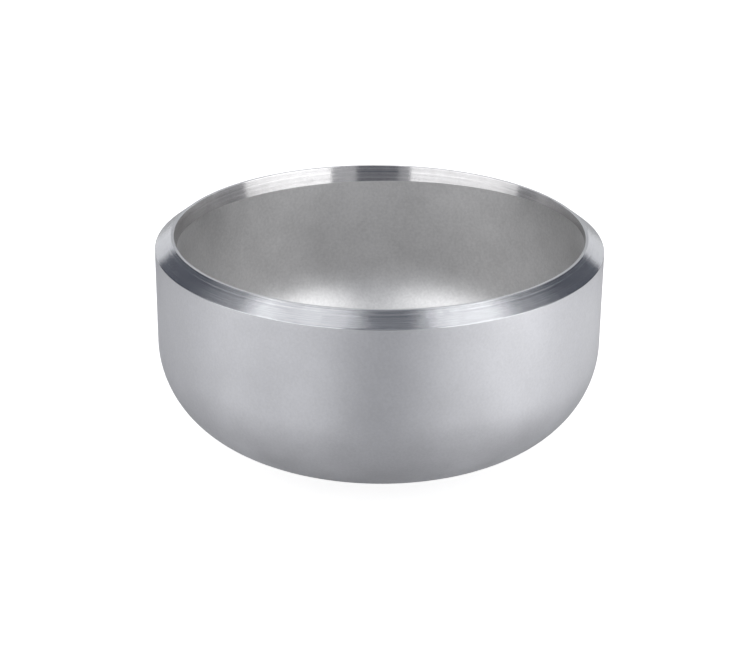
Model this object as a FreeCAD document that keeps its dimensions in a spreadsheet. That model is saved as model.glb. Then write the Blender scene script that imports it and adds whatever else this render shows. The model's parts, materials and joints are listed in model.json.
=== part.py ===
import FreeCAD, Part
import math
import os
import Sketcher

# Butt-weld pipe cap, DN 150, standard wall: one bowl cold-pressed from a stainless disc,
# whose open end is then machined for welding.  Millimetres, +Z up.  The cap lies on its
# dome with the open end up: the origin is the lowest point of the dome, and the pipe's
# axis is +Z.

NODE = "cap"

# Driving dimensions: alias, value, what it measures.
DIMENSIONS = [
    ("outside_diameter", 168.3, "outside diameter, that of the pipe"),
    ("overall_length", 89.0, "from the weld face to the bottom of the dome"),
    ("wall_thickness", 7.11, "wall at the weld face, that of the pipe"),
    ("pressed_wall", 7.85, "mean wall of the pressed shell below the machined end"),
    ("crown_radius", 140.0, "outside radius of the middle of the dome"),
    ("knuckle_radius", 36.0, "outside radius of the turn from dome to skirt"),
    ("bevel_angle", 37.5, "weld bevel, degrees from the plane of the weld face"),
    ("root_face", 1.0, "width of the flat ring between bevel and bore"),
    ("bevel_edge_radius", 0.3, "rounding where the bevel meets the skirt"),
    ("taper_angle", 12.0, "taper of the machined bore, degrees from the axis"),
    ("taper_depth", 8.0, "travel of the tool that turns the taper"),
    ("cavity_offset_x", 0.3, "how far the pressed cavity's axis lies to +X"),
    ("cavity_offset_front", 0.55, "how far the pressed cavity's axis lies to -Y"),
    ("cut_margin", 2.0, "how far the cavity's cutting profile passes the weld face"),
]

# Radii that follow from them, as expressions.
OUTER_RADIUS = "Dimensions.outside_diameter / 2"
BORE_RADIUS = OUTER_RADIUS + " - Dimensions.wall_thickness"
BEVEL_TOP_RADIUS = BORE_RADIUS + " + Dimensions.root_face"
CAVITY_RADIUS = OUTER_RADIUS + " - Dimensions.pressed_wall"

# Sketcher's numbers for a sketch's own origin and upright axis, and for the points of a
# line or an arc.
ORIGIN = (-1, 1)
UPRIGHT_AXIS = -2
START, END, CENTRE = 1, 2, 3


def make_sheet(doc):
    """Write the driving dimensions into the document's spreadsheet."""
    sheet = doc.addObject("Spreadsheet::Sheet", "Dimensions")
    for row, (alias, value, meaning) in enumerate(DIMENSIONS, start=1):
        sheet.set("A%d" % row, alias)
        sheet.set("B%d" % row, str(value))
        sheet.set("C%d" % row, meaning)
        sheet.setAlias("B%d" % row, alias)
    doc.recompute()
    return sheet


def make_sketch(body, name):
    """A sketch on the body's XZ plane: across is the radius and up is the height."""
    sketch = body.newObject("Sketcher::SketchObject", name)
    for plane in body.Origin.OriginFeatures:
        if plane.Role == "XZ_Plane":
            sketch.AttachmentSupport = [(plane, "")]
    sketch.MapMode = "FlatFace"
    sketch.Visibility = False
    return sketch


def fix(sketch, kind, *where):
    """Add a constraint that has no size."""
    sketch.addConstraint(Sketcher.Constraint(kind, *where))


def drive(sketch, name, expression, kind, *where):
    """Add a constraint with a size, name it and bind it to the sheet."""
    index = sketch.addConstraint(Sketcher.Constraint(kind, *where))
    sketch.renameConstraint(index, name)
    sketch.setExpression("Constraints." + name, expression)


def add_lines(sketch, points):
    """Draw straight lines from point to point, joined end to end."""
    corners = [FreeCAD.Vector(radius, height, 0) for radius, height in points]
    lines = []
    for first, last in zip(corners, corners[1:]):
        lines.append(sketch.addGeometry(Part.LineSegment(first, last)))
    for line, following in zip(lines, lines[1:]):
        fix(sketch, "Coincident", line, END, following, START)
    return lines


def add_dome(sketch, sheet, wall, wall_expression):
    """Draw a dome's half outline, that much inside the cap's outside dome.

    The crown's arc starts on the axis, and the knuckle's arc follows it up to where the
    straight skirt begins.  Returns the two arcs and that point.
    """
    crown_radius = sheet.crown_radius - wall
    knuckle_radius = sheet.knuckle_radius - wall
    across = sheet.outside_diameter / 2 - sheet.knuckle_radius
    down = math.sqrt((sheet.crown_radius - sheet.knuckle_radius) ** 2 - across ** 2)
    knuckle_height = sheet.crown_radius - down
    joint = math.atan2(-down, across)
    normal = FreeCAD.Vector(0, 0, 1)

    crown_centre = FreeCAD.Vector(0, sheet.crown_radius, 0)
    crown_circle = Part.Circle(crown_centre, normal, crown_radius)
    crown = sketch.addGeometry(Part.ArcOfCircle(crown_circle, -math.pi / 2, joint))
    knuckle_centre = FreeCAD.Vector(across, knuckle_height, 0)
    knuckle_circle = Part.Circle(knuckle_centre, normal, knuckle_radius)
    knuckle = sketch.addGeometry(Part.ArcOfCircle(knuckle_circle, joint, 0))

    fix(sketch, "PointOnObject", crown, START, UPRIGHT_AXIS)
    fix(sketch, "PointOnObject", crown, CENTRE, UPRIGHT_AXIS)
    fix(sketch, "Tangent", crown, END, knuckle, START)
    drive(sketch, "crown_height", "Dimensions.crown_radius",
          "DistanceY", *ORIGIN, crown, CENTRE, sheet.crown_radius)
    drive(sketch, "crown", "Dimensions.crown_radius" + wall_expression,
          "Radius", crown, crown_radius)
    drive(sketch, "knuckle", "Dimensions.knuckle_radius" + wall_expression,
          "Radius", knuckle, knuckle_radius)
    return crown, knuckle, (across + knuckle_radius, knuckle_height)


def add_bevel_rounding(sketch, sheet, radius, face_radius):
    """Draw the small arc from the skirt to the bevel, and return it and its ends."""
    rounding = sheet.bevel_edge_radius
    slope = math.radians(sheet.bevel_angle)
    across = radius - rounding
    height = sheet.overall_length - rounding / math.cos(slope)
    height -= (across - face_radius) * math.tan(slope)
    centre = FreeCAD.Vector(across, height, 0)
    circle = Part.Circle(centre, FreeCAD.Vector(0, 0, 1), rounding)
    arc = sketch.addGeometry(Part.ArcOfCircle(circle, 0, math.pi / 2 - slope))
    skirt_top = (radius, height)
    bevel_foot = (across + rounding * math.sin(slope), height + rounding * math.cos(slope))
    return arc, skirt_top, bevel_foot


def draw_blank(sketch, sheet):
    """Half outline of the solid outside shape: dome, skirt, bevel and weld face."""
    crown, knuckle, skirt_foot = add_dome(sketch, sheet, 0, "")
    radius = sheet.outside_diameter / 2
    face_radius = radius - sheet.wall_thickness + sheet.root_face
    top = sheet.overall_length
    rounding, skirt_top, bevel_foot = add_bevel_rounding(
        sketch, sheet, radius, face_radius)
    skirt, = add_lines(sketch, [skirt_foot, skirt_top])
    bevel, face, axis = add_lines(sketch, [
        bevel_foot, (face_radius, top), (0, top), (0, 0)])

    fix(sketch, "Tangent", knuckle, END, skirt, START)
    fix(sketch, "Tangent", skirt, END, rounding, START)
    fix(sketch, "Tangent", rounding, END, bevel, START)
    fix(sketch, "Coincident", axis, END, crown, START)
    fix(sketch, "Vertical", skirt)
    fix(sketch, "Horizontal", face)
    fix(sketch, "PointOnObject", axis, START, UPRIGHT_AXIS)
    drive(sketch, "skirt_radius", OUTER_RADIUS,
          "DistanceX", *ORIGIN, skirt, START, radius)
    drive(sketch, "rounding", "Dimensions.bevel_edge_radius",
          "Radius", rounding, sheet.bevel_edge_radius)
    drive(sketch, "face_radius", BEVEL_TOP_RADIUS,
          "DistanceX", *ORIGIN, bevel, END, face_radius)
    drive(sketch, "face_height", "Dimensions.overall_length",
          "DistanceY", *ORIGIN, axis, START, top)
    drive(sketch, "bevel", "180 - Dimensions.bevel_angle",
          "Angle", bevel, math.radians(180 - sheet.bevel_angle))


def draw_cavity(sketch, sheet):
    """Half outline of the hollow that the press leaves, a little off the cap's axis."""
    crown, knuckle, skirt_foot = add_dome(
        sketch, sheet, sheet.pressed_wall, " - Dimensions.pressed_wall")
    radius = sheet.outside_diameter / 2 - sheet.pressed_wall
    top = sheet.overall_length + sheet.cut_margin
    wall, lid, axis = add_lines(sketch, [
        skirt_foot, (radius, top), (0, top), (0, sheet.pressed_wall)])

    fix(sketch, "Tangent", knuckle, END, wall, START)
    fix(sketch, "Coincident", axis, END, crown, START)
    fix(sketch, "Vertical", wall)
    fix(sketch, "Horizontal", lid)
    fix(sketch, "PointOnObject", axis, START, UPRIGHT_AXIS)
    drive(sketch, "cavity_radius", CAVITY_RADIUS,
          "DistanceX", *ORIGIN, wall, START, radius)
    drive(sketch, "lid_height", "Dimensions.overall_length + Dimensions.cut_margin",
          "DistanceY", *ORIGIN, axis, START, top)
    sketch.setExpression(".AttachmentOffset.Base.x", "Dimensions.cavity_offset_x")
    sketch.setExpression(".AttachmentOffset.Base.z", "Dimensions.cavity_offset_front")


def draw_taper(sketch, sheet):
    """Half outline of the machined bore, which narrows downwards from the weld face."""
    radius = sheet.outside_diameter / 2 - sheet.wall_thickness
    narrowing = sheet.taper_depth * math.tan(math.radians(sheet.taper_angle))
    top = sheet.overall_length
    bottom = top - sheet.taper_depth
    floor, taper, face, axis = add_lines(sketch, [
        (0, bottom), (radius - narrowing, bottom), (radius, top), (0, top), (0, bottom)])

    fix(sketch, "Coincident", axis, END, floor, START)
    fix(sketch, "PointOnObject", floor, START, UPRIGHT_AXIS)
    fix(sketch, "Horizontal", floor)
    fix(sketch, "Horizontal", face)
    fix(sketch, "Vertical", axis)
    drive(sketch, "bore_radius", BORE_RADIUS,
          "DistanceX", *ORIGIN, taper, END, radius)
    drive(sketch, "face_height", "Dimensions.overall_length",
          "DistanceY", *ORIGIN, axis, START, top)
    drive(sketch, "depth", "Dimensions.taper_depth",
          "DistanceY", axis, END, axis, START, sheet.taper_depth)
    drive(sketch, "taper", "90 - Dimensions.taper_angle",
          "Angle", taper, math.radians(90 - sheet.taper_angle))


def turn(body, kind, name, sketch):
    """Revolve a sketch once round its own upright axis, adding or cutting material."""
    feature = body.newObject(kind, name)
    feature.Profile = sketch
    feature.ReferenceAxis = (sketch, ["V_Axis"])
    feature.Angle = 360
    body.Tip = feature
    return feature


def make_cap(doc, sheet):
    """The cap: a turned blank, hollowed by the press and then by the taper tool."""
    body = doc.addObject("PartDesign::Body", "Cap")
    body.Label = NODE
    steps = [
        ("PartDesign::Revolution", "OutsideShape", "OutsideProfile", draw_blank),
        ("PartDesign::Groove", "PressedCavity", "CavityProfile", draw_cavity),
        ("PartDesign::Groove", "MachinedTaper", "TaperProfile", draw_taper),
    ]
    volume = None
    for kind, name, profile, draw in steps:
        sketch = make_sketch(body, profile)
        draw(sketch, sheet)
        feature = turn(body, kind, name, sketch)
        doc.recompute()
        if not sketch.FullyConstrained:
            raise RuntimeError(profile + " can still move")
        if volume is not None and not feature.Shape.Volume < volume:
            raise RuntimeError(name + " cut nothing")
        volume = feature.Shape.Volume
    return body


def check(doc, body):
    """Stop if anything in the document failed."""
    for item in doc.Objects:
        if "Invalid" in item.State or "Error" in item.State:
            raise RuntimeError("%s failed: %s" % (item.Name, item.State))
    shape = body.Shape
    if shape.isNull() or not shape.isValid() or len(shape.Solids) != 1:
        raise RuntimeError(body.Label + " isn't one valid solid")


def main():
    doc = FreeCAD.newDocument("pipe_cap")
    sheet = make_sheet(doc)
    body = make_cap(doc, sheet)
    doc.recompute()
    check(doc, body)
    os.makedirs("parts", exist_ok=True)
    body.Shape.exportStep("parts/%s.step" % body.Label)
    box = body.Shape.optimalBoundingBox()
    print("%s: %.2f x %.2f x %.2f mm, bottom at %.3f, volume %.0f mm3" % (
        body.Label, box.XLength, box.YLength, box.ZLength, box.ZMin, body.Shape.Volume))


main()
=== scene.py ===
import json
import math
import random

import bmesh
import bpy
from mathutils import Matrix, Vector


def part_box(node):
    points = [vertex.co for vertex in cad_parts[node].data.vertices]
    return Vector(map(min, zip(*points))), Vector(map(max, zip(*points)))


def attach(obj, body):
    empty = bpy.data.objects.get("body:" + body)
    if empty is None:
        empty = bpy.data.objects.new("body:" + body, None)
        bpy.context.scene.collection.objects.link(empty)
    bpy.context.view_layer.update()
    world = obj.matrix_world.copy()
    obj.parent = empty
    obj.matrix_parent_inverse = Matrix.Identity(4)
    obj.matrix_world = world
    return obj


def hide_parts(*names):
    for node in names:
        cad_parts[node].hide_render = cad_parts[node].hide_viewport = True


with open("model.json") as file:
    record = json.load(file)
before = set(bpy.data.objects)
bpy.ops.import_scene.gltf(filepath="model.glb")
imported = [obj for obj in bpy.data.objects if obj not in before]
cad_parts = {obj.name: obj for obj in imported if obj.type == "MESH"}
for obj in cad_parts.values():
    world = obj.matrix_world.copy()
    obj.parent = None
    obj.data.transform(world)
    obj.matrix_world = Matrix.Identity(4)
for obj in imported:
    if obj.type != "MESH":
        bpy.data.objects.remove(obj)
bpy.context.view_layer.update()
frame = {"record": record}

# The look of a stainless butt-weld pipe cap, lying on its dome on a pale floor.  Metres,
# +Z up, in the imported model's own frame.

MM = 0.001
TURN = 2 * math.pi
RANDOM_SEED = 7

MOUNTS = {mount["name"]: mount for mount in frame["record"]["mounts"]}

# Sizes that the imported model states.  The pressed bowl has an upright axis of its own.
RIM_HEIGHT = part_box("cap")[1].z
SKIRT_RADIUS = MOUNTS["skirt"]["dims"]["r_mm"] * MM
CAVITY_RADIUS = MOUNTS["cavity_wall"]["dims"]["r_mm"] * MM
CAP_AXIS = Vector((0, 0))
CAVITY_AXIS = Vector(MOUNTS["cavity_wall"]["pos_m"][:2])

# The rest of the cap's profile.
CROWN_RADIUS = 140 * MM
KNUCKLE_RADIUS = 36 * MM
END_WALL = 7.11 * MM
ROOT_FACE = 1.0 * MM
BEVEL_SLOPE = math.radians(37.5)
TAPER_SLOPE = math.radians(12)
BEVEL_ROUNDING = 0.3 * MM
RIM_ROUNDING = 0.1 * MM

PRESSED_WALL = SKIRT_RADIUS - CAVITY_RADIUS
BORE_RADIUS = SKIRT_RADIUS - END_WALL
FACE_RADIUS = BORE_RADIUS + ROOT_FACE
KNUCKLE_ACROSS = SKIRT_RADIUS - KNUCKLE_RADIUS
KNUCKLE_HEIGHT = CROWN_RADIUS - math.sqrt(
    (CROWN_RADIUS - KNUCKLE_RADIUS) ** 2 - KNUCKLE_ACROSS ** 2)
CROWN_CENTRE = Vector((0, CROWN_RADIUS))
KNUCKLE_CENTRE = Vector((KNUCKLE_ACROSS, KNUCKLE_HEIGHT))

# Angles at which the dome's arcs start and end: straight down, where the crown meets the
# knuckle, and level.
DOME_BOTTOM = -math.pi / 2
DOME_JOINT = math.atan2(KNUCKLE_HEIGHT - CROWN_RADIUS, KNUCKLE_ACROSS)
KNUCKLE_TOP = 0

# How finely the mesh is cut: a step is the widest gap between rings, and cuts are counted.
SPOKES = 192
SKIRT_STEP = 3 * MM
TURNED_STEP = 0.4 * MM
TAPER_CUTS = 16
BOWL_WALL_CUTS = 13
CROWN_CUTS = 22
KNUCKLE_CUTS = 18
BOWL_KNUCKLE_CUTS = 16
CORNER_CUTS = 4

# Heights of the fine ridges that the lathe leaves.
BEVEL_RIDGE_HEIGHT = 0.03 * MM
TAPER_RIDGE_HEIGHT = 0.008 * MM

FINISHES = ["skin", "bevel", "root_face", "taper", "cavity"]


# ---- shape ----------------------------------------------------------------------------

def arc(centre, radius, start, end, count):
    """Points of a profile arc, both ends included."""
    points = []
    for step in range(count + 1):
        angle = start + (end - start) * step / count
        points.append(centre + radius * Vector((math.cos(angle), math.sin(angle))))
    return points


def line(start, end, spacing):
    """Points of a profile line, both ends included, no further apart than spacing."""
    count = max(1, math.ceil((end - start).length / spacing))
    return [start.lerp(end, step / count) for step in range(count + 1)]


def rounded(before, at, after, radius):
    """Points of the arc that rounds the corner between two profile lines."""
    back = (before - at).normalized()
    ahead = (after - at).normalized()
    half = back.angle(ahead) / 2
    reach = radius / math.tan(half)
    centre = at + (back + ahead).normalized() * radius / math.sin(half)
    first = at + back * reach - centre
    last = at + ahead * reach - centre
    start = math.atan2(first.y, first.x)
    turned = (math.atan2(last.y, last.x) - start + math.pi) % TURN - math.pi
    return arc(centre, radius, start, start + turned, CORNER_CUTS)


def ridged(points, chance):
    """The inner points of a line, each moved a little off it, like a turned surface."""
    along = (points[-1] - points[0]).normalized()
    across = Vector((-along.y, along.x))
    moved = []
    for point in points[1:-1]:
        moved.append(point + across * chance.uniform(0, 1) * BEVEL_RIDGE_HEIGHT)
    return [points[0], *moved, points[-1]]


def outside_profile(chance):
    """The outside from the dome's lowest point up to the bore's edge, with finishes."""
    crown = arc(CROWN_CENTRE, CROWN_RADIUS, DOME_BOTTOM, DOME_JOINT, CROWN_CUTS)
    knuckle = arc(KNUCKLE_CENTRE, KNUCKLE_RADIUS, DOME_JOINT, KNUCKLE_TOP, KNUCKLE_CUTS)
    bevel_height = (SKIRT_RADIUS - FACE_RADIUS) * math.tan(BEVEL_SLOPE)
    bevel_foot = Vector((SKIRT_RADIUS, RIM_HEIGHT - bevel_height))
    face_edge = Vector((FACE_RADIUS, RIM_HEIGHT))
    bore_edge = Vector((BORE_RADIUS, RIM_HEIGHT))
    taper_way = bore_edge - Vector((math.sin(TAPER_SLOPE), math.cos(TAPER_SLOPE)))
    foot_arc = rounded(knuckle[-1], bevel_foot, face_edge, BEVEL_ROUNDING)
    face_arc = rounded(bevel_foot, face_edge, bore_edge, RIM_ROUNDING)
    bore_arc = rounded(face_edge, bore_edge, taper_way, RIM_ROUNDING)
    skirt = line(knuckle[-1], foot_arc[0], SKIRT_STEP)
    bevel = ridged(line(foot_arc[-1], face_arc[0], TURNED_STEP), chance)
    face = line(face_arc[-1], bore_arc[0], TURNED_STEP)
    stretches = [
        ("skin", crown[1:-1]),
        ("skin", knuckle[:-1]),
        ("skin", skirt[:-1]),
        ("bevel", foot_arc[:-1]),
        ("bevel", bevel[:-1]),
        ("root_face", face_arc[:-1]),
        ("root_face", face[:-1]),
        ("taper", bore_arc),
    ]
    return [(finish, point) for finish, points in stretches for point in points]


def circle(radius, height, axis=CAP_AXIS):
    """Points round an upright axis, one for each spoke."""
    points = []
    for spoke in range(SPOKES):
        angle = TURN * spoke / SPOKES
        place = axis + radius * Vector((math.cos(angle), math.sin(angle)))
        points.append(Vector((place.x, place.y, height)))
    return points


def taper_end():
    """Where the machined taper runs out into the pressed wall, deepest at the back."""
    points = []
    for point in circle(CAVITY_RADIUS, RIM_HEIGHT, CAVITY_AXIS):
        depth = (BORE_RADIUS - point.xy.length) / math.tan(TAPER_SLOPE)
        points.append(Vector((point.x, point.y, RIM_HEIGHT - depth)))
    return points


def between(upper, lower, count):
    """Rings between two rings, neither of them included."""
    rings = []
    for step in range(1, count):
        share = step / count
        rings.append([a.lerp(b, share) for a, b in zip(upper, lower)])
    return rings


def ridged_ring(ring, end, chance):
    """A ring of the taper moved a little outwards, less where the taper is shallow."""
    deepest = max(RIM_HEIGHT - point.z for point in end)
    height = chance.uniform(0, 1) * TAPER_RIDGE_HEIGHT
    moved = []
    for point, foot in zip(ring, end):
        swell = 1 + height / BORE_RADIUS * (RIM_HEIGHT - foot.z) / deepest
        moved.append(Vector((point.x * swell, point.y * swell, point.z)))
    return moved


def inside_rings(bore_ring, chance):
    """Rings from the bore's edge down to near the middle of the bowl's floor."""
    end = taper_end()
    rings = []
    for ring in between(bore_ring, end, TAPER_CUTS):
        rings.append(("taper", ridged_ring(ring, end, chance)))
    foot = circle(CAVITY_RADIUS, KNUCKLE_HEIGHT, CAVITY_AXIS)
    rings.append(("cavity", end))
    for ring in between(end, foot, BOWL_WALL_CUTS):
        rings.append(("cavity", ring))
    knuckle = arc(KNUCKLE_CENTRE, KNUCKLE_RADIUS - PRESSED_WALL, KNUCKLE_TOP, DOME_JOINT,
                  BOWL_KNUCKLE_CUTS)
    crown = arc(CROWN_CENTRE, CROWN_RADIUS - PRESSED_WALL, DOME_JOINT, DOME_BOTTOM, CROWN_CUTS)
    for point in knuckle[:-1] + crown[:-1]:
        rings.append(("cavity", circle(point.x, point.y, CAVITY_AXIS)))
    return rings


def add_face(mesh, corners, finish):
    """One smoothly shaded face with a finish."""
    face = mesh.faces.new(corners)
    face.material_index = FINISHES.index(finish)
    face.smooth = True


def join_rings(mesh, lower, upper, finish):
    """A band of four-sided faces between two rings."""
    for spoke in range(SPOKES):
        following = (spoke + 1) % SPOKES
        corners = (lower[spoke], lower[following], upper[following], upper[spoke])
        add_face(mesh, corners, finish)


def close_pole(mesh, pole, ring, finish, upwards):
    """A fan of triangles from a point on the axis to the first ring round it."""
    for spoke in range(SPOKES):
        following = (spoke + 1) % SPOKES
        corners = (pole, ring[spoke], ring[following])
        add_face(mesh, corners if upwards else corners[::-1], finish)


def crease_taper_end(mesh):
    """Make the edge between the taper and the pressed wall a sharp one."""
    both_sides = {FINISHES.index("taper"), FINISHES.index("cavity")}
    for edge in mesh.edges:
        if {face.material_index for face in edge.link_faces} == both_sides:
            edge.smooth = False


def make_cap():
    """The whole cap as one closed mesh, with a finish for each of its surfaces."""
    chance = random.Random(RANDOM_SEED)
    rings = []
    for finish, point in outside_profile(chance):
        rings.append((finish, circle(point.x, point.y)))
    bore_ring = rings[-1][1]
    rings += inside_rings(bore_ring, chance)
    mesh = bmesh.new()
    rows = [[mesh.verts.new(point) for point in ring] for _, ring in rings]
    for (finish, _), lower, upper in zip(rings, rows, rows[1:]):
        join_rings(mesh, lower, upper, finish)
    dome_bottom = mesh.verts.new((CAP_AXIS.x, CAP_AXIS.y, 0))
    bowl_bottom = mesh.verts.new((CAVITY_AXIS.x, CAVITY_AXIS.y, PRESSED_WALL))
    close_pole(mesh, dome_bottom, rows[0], "skin", upwards=False)
    close_pole(mesh, bowl_bottom, rows[-1], "cavity", upwards=True)
    crease_taper_end(mesh)
    data = bpy.data.meshes.new("cap_shell")
    mesh.to_mesh(data)
    mesh.free()
    piece = bpy.data.objects.new("cap_shell", data)
    bpy.context.scene.collection.objects.link(piece)
    return piece


# ---- materials ------------------------------------------------------------------------

SKIN_COLOUR = (0.615, 0.617, 0.638)
BEVEL_COLOUR = (0.505, 0.51, 0.525)
FACE_COLOUR = (0.37, 0.375, 0.385)
TAPER_COLOUR = (0.59, 0.583, 0.583)
CAVITY_COLOUR = (0.65, 0.647, 0.645)
WHITE = (1, 1, 1)

# Values that a noise mostly keeps to, and that the two noises of a finish add up to.
NOISE_VALUES = (0.3, 0.7)
SATIN_SUM_VALUES = (0.75, 1.25)
TURNED_SUM_VALUES = (0.7, 1.3)

# Satin steel: size of its faint clouds, and how far they move its roughness.
SATIN_CLOUD_SIZE = 18 * MM
SATIN_ROUGHNESS_SWING = 0.03

# Turned steel: size of its grooves and clouds, how far the grooves move its roughness, how
# much its colour varies, and how strongly its shine spreads across the grooves.
GROOVE_SIZE = 0.9 * MM
TURNED_CLOUD_SIZE = 3 * MM
TURNED_ROUGHNESS_SWING = 0.07
TURNED_CONTRAST = 0.16
TURNED_LAY = 0.95

# The shader counts a quarter turn as 0.25, from round the axis to up and down.
QUARTER_TURN = 0.25


def add_node(tree, kind, inputs=None, **settings):
    """Add a node; an input's value is a plain value or another node's output."""
    made = tree.nodes.new(kind)
    for name, value in settings.items():
        setattr(made, name, value)
    for name, value in (inputs or {}).items():
        if isinstance(value, bpy.types.NodeSocket):
            tree.links.new(value, made.inputs[name])
        else:
            made.inputs[name].default_value = value
    return made


def new_metal(name):
    """A material with a metal shader; returns it, its node tree and the shader."""
    material = bpy.data.materials.new(name)
    material.use_nodes = True
    tree = material.node_tree
    shader = tree.nodes["Principled BSDF"]
    shader.inputs["Metallic"].default_value = 1.0
    return material, tree, shader


def noise(tree, place, size, detail, roughness, dimensions="3D"):
    """A noise texture's value; place is a vector, or one number for a 1D noise."""
    made = add_node(tree, "ShaderNodeTexNoise", {
        "W" if dimensions == "1D" else "Vector": place,
        "Scale": 1 / size, "Detail": detail, "Roughness": roughness},
        noise_dimensions=dimensions)
    return made.outputs[0]


def spread(tree, value, values, low, high):
    """Map a range of a value onto low to high."""
    mapped = add_node(tree, "ShaderNodeMapRange", {
        "Value": value, "From Min": values[0], "From Max": values[1],
        "To Min": low, "To Max": high})
    return mapped.outputs["Result"]


def tinted(tree, factor, dark, light):
    """A colour between two, by a factor."""
    mixed = add_node(tree, "ShaderNodeMix", data_type="RGBA")
    tree.links.new(factor, mixed.inputs["Factor"])
    mixed.inputs["A"].default_value = (*dark, 1)
    mixed.inputs["B"].default_value = (*light, 1)
    return mixed.outputs["Result"]


def set_colour(tree, shader, noises, values, colour, contrast):
    """Let a surface's colour vary a little with two noises added together."""
    both = add_node(tree, "ShaderNodeMath", {0: noises[0], 1: noises[1]}, operation="ADD")
    shade = spread(tree, both.outputs[0], values, 0, 1)
    dark = [channel * (1 - contrast / 2) for channel in colour]
    light = [channel * (1 + contrast / 2) for channel in colour]
    tree.links.new(tinted(tree, shade, dark, light), shader.inputs["Base Color"])


def set_roughness(tree, shader, value, roughness, swing):
    """Let a surface's roughness vary a little with a noise."""
    mapped = spread(tree, value, NOISE_VALUES, roughness - swing, roughness + swing)
    tree.links.new(mapped, shader.inputs["Roughness"])


def set_bump(tree, shader, height, depth):
    """Tilt a surface's normal as a noise rises and falls."""
    bump = add_node(tree, "ShaderNodeBump", {
        "Height": height, "Strength": 1.0, "Distance": depth})
    tree.links.new(bump.outputs["Normal"], shader.inputs["Normal"])


def set_lay(tree, shader, amount):
    """Spread a surface's shine up and down, across the grooves that turning leaves."""
    tangent = add_node(tree, "ShaderNodeTangent", direction_type="RADIAL", axis="Z")
    tree.links.new(tangent.outputs["Tangent"], shader.inputs["Tangent"])
    shader.inputs["Anisotropic"].default_value = amount
    shader.inputs["Anisotropic Rotation"].default_value = QUARTER_TURN


def object_place(tree):
    """Where a point of the surface lies in the piece's own frame."""
    return add_node(tree, "ShaderNodeTexCoord").outputs["Object"]


def groove_place(tree, place):
    """Distance from the axis less the height, which is the same all along a groove."""
    parts = add_node(tree, "ShaderNodeSeparateXYZ", {"Vector": place})
    flat = add_node(tree, "ShaderNodeCombineXYZ", {
        "X": parts.outputs["X"], "Y": parts.outputs["Y"]})
    radius = add_node(tree, "ShaderNodeVectorMath", {0: flat.outputs[0]}, operation="LENGTH")
    across = add_node(tree, "ShaderNodeMath", {
        0: radius.outputs["Value"], 1: parts.outputs["Z"]}, operation="SUBTRACT")
    return across.outputs[0]


def satin_steel(name, colour, roughness, lay, grain_size, grain_depth, contrast):
    """Pressed steel with an even satin finish and a fine speckle."""
    material, tree, shader = new_metal(name)
    place = object_place(tree)
    grain = noise(tree, place, grain_size, detail=3, roughness=0.6)
    cloud = noise(tree, place, SATIN_CLOUD_SIZE, detail=4, roughness=0.55)
    set_colour(tree, shader, (grain, cloud), SATIN_SUM_VALUES, colour, contrast)
    set_roughness(tree, shader, cloud, roughness, SATIN_ROUGHNESS_SWING)
    set_bump(tree, shader, grain, grain_depth)
    set_lay(tree, shader, lay)
    return material


def turned_steel(name, colour, roughness, groove_depth):
    """Steel bright from the lathe: fine grooves round the axis, seen as streaks."""
    material, tree, shader = new_metal(name)
    place = object_place(tree)
    grooves = noise(tree, groove_place(tree, place), GROOVE_SIZE, detail=3, roughness=0.7,
                    dimensions="1D")
    cloud = noise(tree, place, TURNED_CLOUD_SIZE, detail=4, roughness=0.7)
    set_colour(tree, shader, (grooves, cloud), TURNED_SUM_VALUES, colour, TURNED_CONTRAST)
    set_roughness(tree, shader, grooves, roughness, TURNED_ROUGHNESS_SWING)
    set_bump(tree, shader, grooves, groove_depth)
    set_lay(tree, shader, TURNED_LAY)
    return material


def cap_materials():
    """The material of each finish, in the order of FINISHES."""
    return [
        satin_steel("steel_skin", SKIN_COLOUR, roughness=0.5, lay=0.7,
                    grain_size=0.9 * MM, grain_depth=0.012 * MM, contrast=0.1),
        turned_steel("steel_bevel", BEVEL_COLOUR, roughness=0.16, groove_depth=0.05 * MM),
        turned_steel("steel_root_face", FACE_COLOUR, roughness=0.3, groove_depth=0.003 * MM),
        turned_steel("steel_taper", TAPER_COLOUR, roughness=0.18, groove_depth=0.014 * MM),
        satin_steel("steel_cavity", CAVITY_COLOUR, roughness=0.42, lay=0.0,
                    grain_size=1.1 * MM, grain_depth=0.025 * MM, contrast=0.18),
    ]


# ---- studio ---------------------------------------------------------------------------

# The camera's distance is from the middle of the rim, and its aim is measured from there.
CAMERA_DISTANCE = 727.6 * MM
CAMERA_ELEVATION = math.radians(20.2)
CAMERA_LENS_MM = 92.9
CAMERA_SENSOR_MM = 36.0
CAMERA_ROLL = math.radians(0.52)
AIM_BELOW_RIM = 38.6 * MM
AIM_ASIDE = -1.45 * MM

# Half the floor's width, and how many squares it has each way.
FLOOR_REACH = 4.0
FLOOR_SQUARES = 8

# The floor's grey where the steel mirrors it, its grey and its glow where the camera sees
# it, and the room's tint in the steel.
MIRRORED_FLOOR = (0.44, 0.44, 0.44, 1)
SEEN_FLOOR = (0.45, 0.45, 0.45, 1)
SEEN_FLOOR_GLOW = 0.86
ROOM_TINT = (0.125, 0.135, 0.165)

# Upright light panels stand this far from the cap, flat ones hang this high, and the pale
# cards lie this far above the floor.
WALL_REACH = 1.5
CEILING_HEIGHT = 1.6
CARD_HEIGHT = 1 * MM

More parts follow.
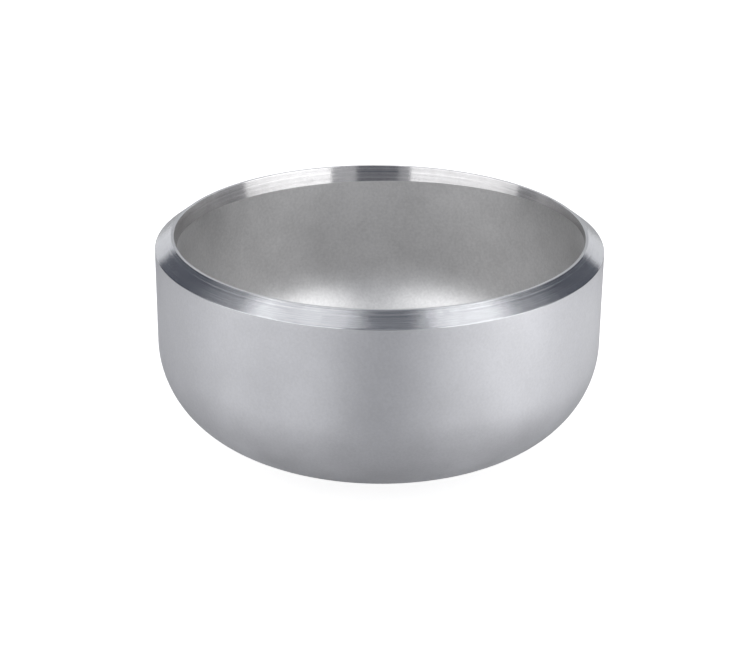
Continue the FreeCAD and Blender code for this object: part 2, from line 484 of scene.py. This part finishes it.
# Upright panels: name, azimuth of the two sides in degrees, with 0 at the camera and 90 on
# the right, height of the lower and the upper edge in metres, brightness.
WALL_PANELS = [
    ("left_low", -87, -18, 0.0, 0.45, 1.9),
    ("left_middle", -87, -18, 0.45, 1.1, 1.25),
    ("left_high", -87, -18, 1.1, 2.8, 1.85),
    ("left_wing", -112, -87, 0.0, 2.8, 0.5),
    ("left_edge", -18, -11, 0.0, 0.9, 0.35),
    ("right_low", 29, 85, 0.0, 0.45, 2.3),
    ("right_middle", 29, 85, 0.45, 1.1, 1.5),
    ("right_high", 29, 85, 1.1, 2.8, 2.2),
    ("right_wing", 85, 112, 0.0, 2.8, 0.55),
    ("right_edge", 14, 29, 0.0, 0.9, 0.55),
    ("front_high", -18, 29, 0.9, 2.8, 0.35),
    ("back_low", 138, 222, 0.0, 0.55, 0.85),
    ("back_middle", 146, 214, 0.55, 0.9, 0.7),
    ("back_high", 146, 214, 0.9, 2.8, 1.75),
]

# Flat panels overhead: name, left, right, front and back edge in metres, brightness.
CEILING_PANELS = [
    ("ceiling_far_left", -1.17, -0.6, -0.3, 0.35, 0.86),
    ("ceiling_left", -0.6, -0.13, -0.3, 0.35, 1.42),
    ("ceiling_right", 0.33, 0.7, -0.3, 0.35, 1.45),
    ("ceiling_far_right", 0.7, 1.1, -0.3, 0.35, 1.0),
    ("ceiling_back_left", -0.6, -0.15, 0.35, 0.85, 1.4),
    ("ceiling_back_right", 0.33, 0.6, 0.35, 0.85, 1.3),
    ("ceiling_front", -0.75, 0.75, -0.85, -0.35, 0.42),
]

# Pale cards on the floor that throw light up onto the skirt, listed the same way.
FLOOR_CARDS = [
    ("card_left", -0.35, -0.16, -0.14, 0.16, 0.55),
    ("card_right", 0.15, 0.36, -0.2, 0.18, 0.97),
    ("card_front", -0.12, 0.14, -0.4, -0.14, 0.12),
]


def make_panel(name, place, facing, width, height, brightness):
    """A soft rectangular light that is equally bright all over."""
    data = bpy.data.lights.new(name, "AREA")
    data.shape = "RECTANGLE"
    data.size = width
    data.size_y = height
    # A flat light this strong looks as bright as asked, whatever its size.
    data.energy = brightness * width * height * math.pi
    panel = bpy.data.objects.new(name, data)
    panel.location = place
    panel.rotation_euler = facing.to_track_quat("-Z", "Y").to_euler()
    panel.visible_camera = False
    bpy.context.scene.collection.objects.link(panel)


def make_lights():
    """The light panels round the cap and overhead, and the cards on the floor."""
    for name, start, end, low, high, brightness in WALL_PANELS:
        azimuth = math.radians((start + end) / 2)
        outward = Vector((math.sin(azimuth), -math.cos(azimuth), 0))
        place = outward * WALL_REACH + Vector((0, 0, (low + high) / 2))
        width = 2 * WALL_REACH * math.tan(math.radians(end - start) / 2)
        make_panel(name, place, -outward, width, high - low, brightness)
    down = Vector((0, 0, -1))
    flat_sets = ((CEILING_PANELS, CEILING_HEIGHT, down), (FLOOR_CARDS, CARD_HEIGHT, -down))
    for panels, height, facing in flat_sets:
        for name, left, right, front, back, brightness in panels:
            place = Vector(((left + right) / 2, (front + back) / 2, height))
            make_panel(name, place, facing, right - left, back - front, brightness)


def seen_directly(tree):
    """1 where the camera sees a thing itself, 0 where something mirrors or is lit by it."""
    return add_node(tree, "ShaderNodeLightPath").outputs["Is Camera Ray"]


def floor_paper():
    """White paper with a soft shadow, which the steel mirrors as a greyer one."""
    material = bpy.data.materials.new("floor_paper")
    material.use_nodes = True
    tree = material.node_tree
    tree.nodes.clear()
    mirrored = add_node(tree, "ShaderNodeBsdfDiffuse", {"Color": MIRRORED_FLOOR})
    paper = add_node(tree, "ShaderNodeBsdfDiffuse", {"Color": SEEN_FLOOR})
    glow = add_node(tree, "ShaderNodeEmission", {
        "Color": (*WHITE, 1), "Strength": SEEN_FLOOR_GLOW})
    white = add_node(tree, "ShaderNodeAddShader", {0: paper.outputs[0], 1: glow.outputs[0]})
    either = add_node(tree, "ShaderNodeMixShader", {
        0: seen_directly(tree), 1: mirrored.outputs[0], 2: white.outputs[0]})
    add_node(tree, "ShaderNodeOutputMaterial", {"Surface": either.outputs[0]})
    return material


def make_floor():
    """A wide plain floor that the dome touches."""
    mesh = bmesh.new()
    bmesh.ops.create_grid(
        mesh, x_segments=FLOOR_SQUARES, y_segments=FLOOR_SQUARES, size=FLOOR_REACH)
    data = bpy.data.meshes.new("floor")
    mesh.to_mesh(data)
    mesh.free()
    floor = bpy.data.objects.new("floor", data)
    bpy.context.scene.collection.objects.link(floor)
    data.materials.append(floor_paper())


def make_world():
    """A dim, slightly blue room that looks white where the camera sees past the floor."""
    world = bpy.data.worlds.new("studio")
    bpy.context.scene.world = world
    world.use_nodes = True
    tree = world.node_tree
    shade = tinted(tree, seen_directly(tree), ROOM_TINT, WHITE)
    tree.links.new(shade, tree.nodes["Background"].inputs["Color"])


def make_camera():
    """Stand the camera where it looks down over the rim."""
    rim = Vector((0, 0, RIM_HEIGHT))
    back = Vector((0, -math.cos(CAMERA_ELEVATION), math.sin(CAMERA_ELEVATION)))
    place = rim + CAMERA_DISTANCE * back
    aim = rim + Vector((AIM_ASIDE, 0, -AIM_BELOW_RIM))
    data = bpy.data.cameras.new("camera")
    data.lens = CAMERA_LENS_MM
    data.sensor_width = CAMERA_SENSOR_MM
    camera = bpy.data.objects.new("camera", data)
    facing = (aim - place).to_track_quat("-Z", "Y").to_matrix().to_4x4()
    roll = Matrix.Rotation(CAMERA_ROLL, 4, "Z")
    camera.matrix_world = Matrix.Translation(place) @ facing @ roll
    bpy.context.scene.collection.objects.link(camera)
    bpy.context.scene.camera = camera


cap = make_cap()
for material in cap_materials():
    cap.data.materials.append(material)
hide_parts("cap")
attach(cap, "root")

make_floor()
make_lights()
make_world()
make_camera()
bpy.context.scene.view_settings.view_transform = "Standard"
